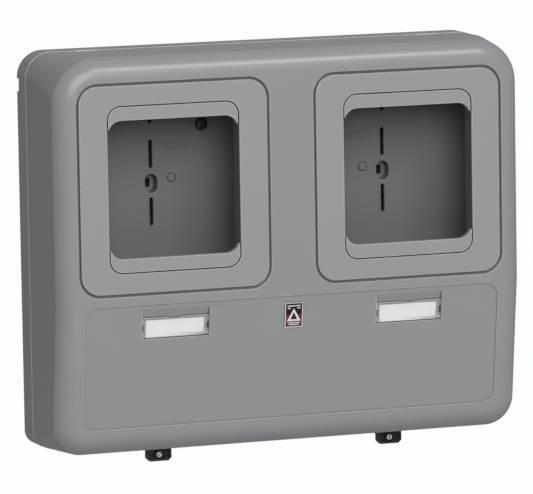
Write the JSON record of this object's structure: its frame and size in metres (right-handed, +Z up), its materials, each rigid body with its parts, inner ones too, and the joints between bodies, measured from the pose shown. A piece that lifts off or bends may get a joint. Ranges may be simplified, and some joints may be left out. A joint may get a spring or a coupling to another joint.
{
  "type": "meter enclosure",
  "caption": "Shallow grey wall box for side-by-side electricity meters: tray, tilting cover with sloped lower face, windowed frames, name flaps and screw locks.",
  "frame": {"origin": "middle of the tray's flat back face, which lies on the wall", "axes": "+Y into the wall, +Z up, +X to the right of someone facing the box, which stands out towards -Y"},
  "size_m": [0.496, 0.124, 0.4171],
  "materials": {
    "tray_grey": "satin moulded resin, darker grey",
    "cover_grey": "satin moulded resin, fine grain",
    "frame_grey": "satin moulded resin, fine grain",
    "plate_grey": "matt moulded resin",
    "black_nylon": "satin black nylon",
    "zinc_steel": "bright zinc plating",
    "brass": "turned brass",
    "clear_flap": "clear polished resin",
    "white_card": "white card",
    "red_label": "dark red printed film"
  },
  "bodies": {
    "tray": {"base_tray": "tray_grey", "meter_plate_left": "plate_grey", "plate_screw_left_1": "black_nylon", "plate_screw_left_2": "black_nylon", "plate_screw_left_3": "black_nylon", "plate_screw_left_4": "black_nylon", "lock_insert_left": "brass", "conduit_plug_left": "tray_grey", "meter_plate_right": "plate_grey", "plate_screw_right_1": "black_nylon", "plate_screw_right_2": "black_nylon", "plate_screw_right_3": "black_nylon", "plate_screw_right_4": "black_nylon", "lock_insert_right": "brass", "conduit_plug_right": "tray_grey"},
    "cover": {"cover_shell": "cover_grey", "caution_label": "red_label", "lock_bracket_left": "black_nylon", "name_card_left": "white_card", "lock_bracket_right": "black_nylon", "name_card_right": "white_card"},
    "window_left": {"window_frame_left": "frame_grey", "window_strip_upper_left": "frame_grey", "window_strip_lower_left": "frame_grey"},
    "name_flap_left": {"name_window_left": "clear_flap"},
    "lock_left": {"lock_screw_left": "zinc_steel", "screw_retainer_left": "zinc_steel"},
    "window_right": {"window_frame_right": "frame_grey", "window_strip_upper_right": "frame_grey", "window_strip_lower_right": "frame_grey"},
    "name_flap_right": {"name_window_right": "clear_flap"},
    "lock_right": {"lock_screw_right": "zinc_steel", "screw_retainer_right": "zinc_steel"}
  },
  "joints": [
    {"name": "cover_tilt", "type": "hinge", "parent": "tray", "child": "cover", "pos_m": [0, -0.0285, 0.1995], "axis": [-1, 0, 0], "range_deg": [0, 40]},
    {"name": "lock_turn_left", "type": "hinge", "parent": "cover", "child": "lock_left", "pos_m": [-0.125, -0.055, -0.2105], "axis": [0, 1, 0], "continuous": true},
    {"name": "name_flap_open_left", "type": "hinge", "parent": "cover", "child": "name_flap_left", "pos_m": [-0.125, -0.11709, -0.08108], "axis": [1, 0, 0], "range_deg": [0, 75]},
    {"name": "window_pull_left", "type": "slide", "parent": "cover", "child": "window_left", "axis": [0, -1, 0], "range_m": [0, 0.02]},
    {"name": "lock_turn_right", "type": "hinge", "parent": "cover", "child": "lock_right", "pos_m": [0.125, -0.055, -0.2105], "axis": [0, 1, 0], "continuous": true},
    {"name": "name_flap_open_right", "type": "hinge", "parent": "cover", "child": "name_flap_right", "pos_m": [0.125, -0.11709, -0.08108], "axis": [1, 0, 0], "range_deg": [0, 75]},
    {"name": "window_pull_right", "type": "slide", "parent": "cover", "child": "window_right", "axis": [0, -1, 0], "range_m": [0, 0.02]}
  ]
}
